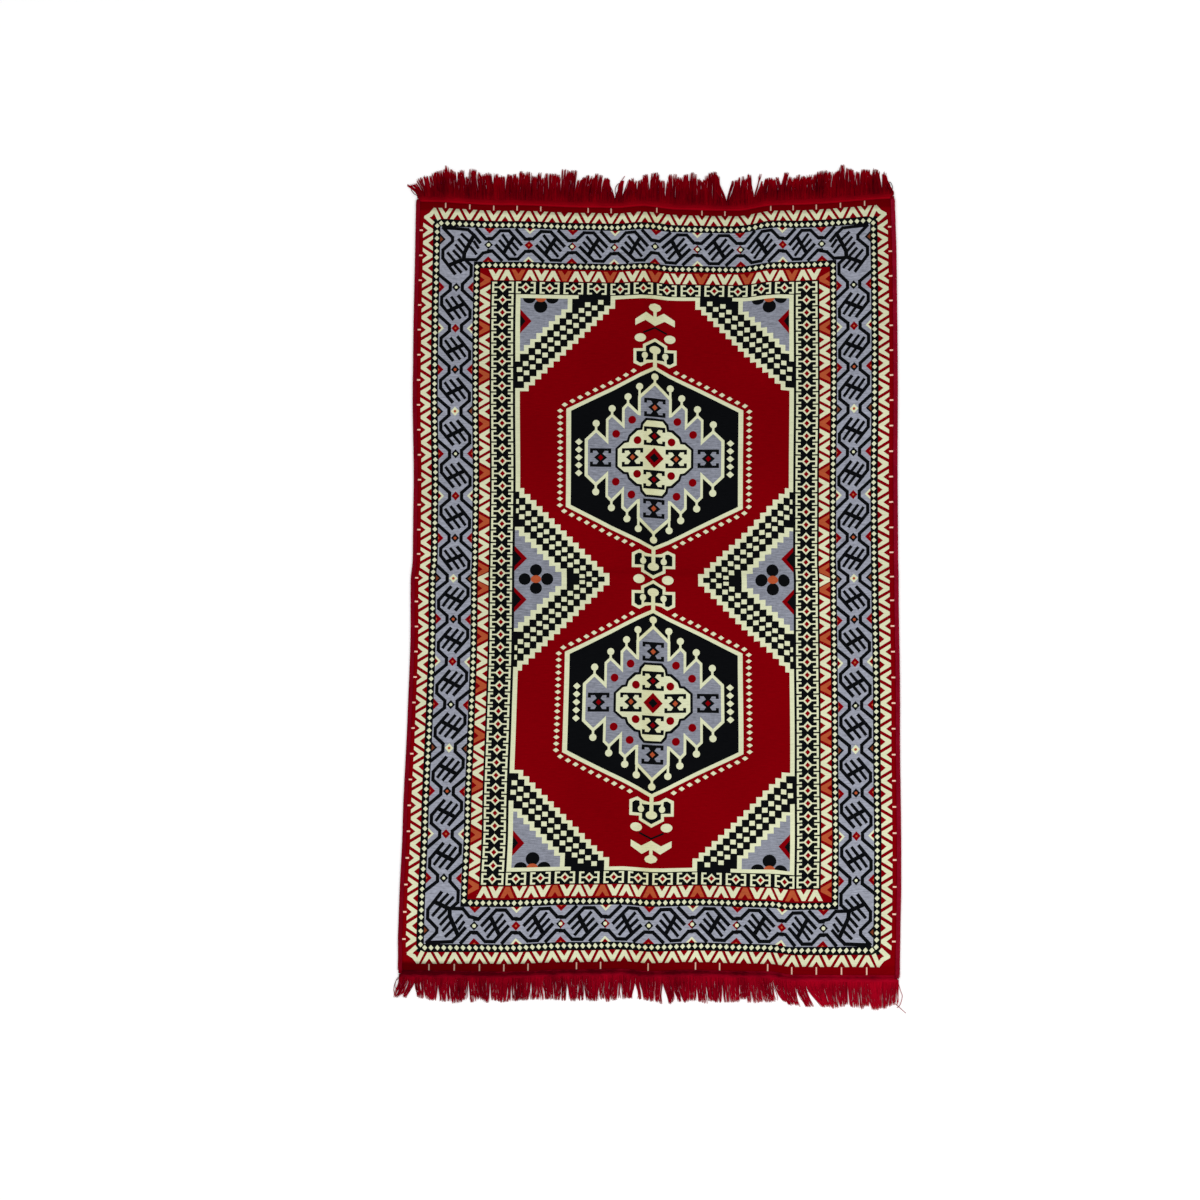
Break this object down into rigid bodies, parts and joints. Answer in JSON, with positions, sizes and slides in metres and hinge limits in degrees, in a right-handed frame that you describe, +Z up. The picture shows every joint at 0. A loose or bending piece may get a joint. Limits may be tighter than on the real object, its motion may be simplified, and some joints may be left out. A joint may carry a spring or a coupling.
{
  "type": "kilim rug",
  "caption": "Flat-woven kilim rug with a double medallion field, patterned borders, bound long sides and a fringe along each end, lying flat on the floor.",
  "frame": {"origin": "On the floor below the middle of the rug.", "axes": "+Z up, +Y along the rug towards its head end, +X across the rug towards its right side."},
  "size_m": [1.169, 1.9998, 0.01],
  "materials": {
    "woven_cloth": "matt flat weave",
    "side_binding": "matt stitched tape",
    "fringe_yarn": "soft yarn"
  },
  "bodies": {
    "root": {"cloth": "woven_cloth", "binding_left": "side_binding", "binding_right": "side_binding", "fringe_head": "fringe_yarn", "fringe_foot": "fringe_yarn"}
  },
  "joints": []
}
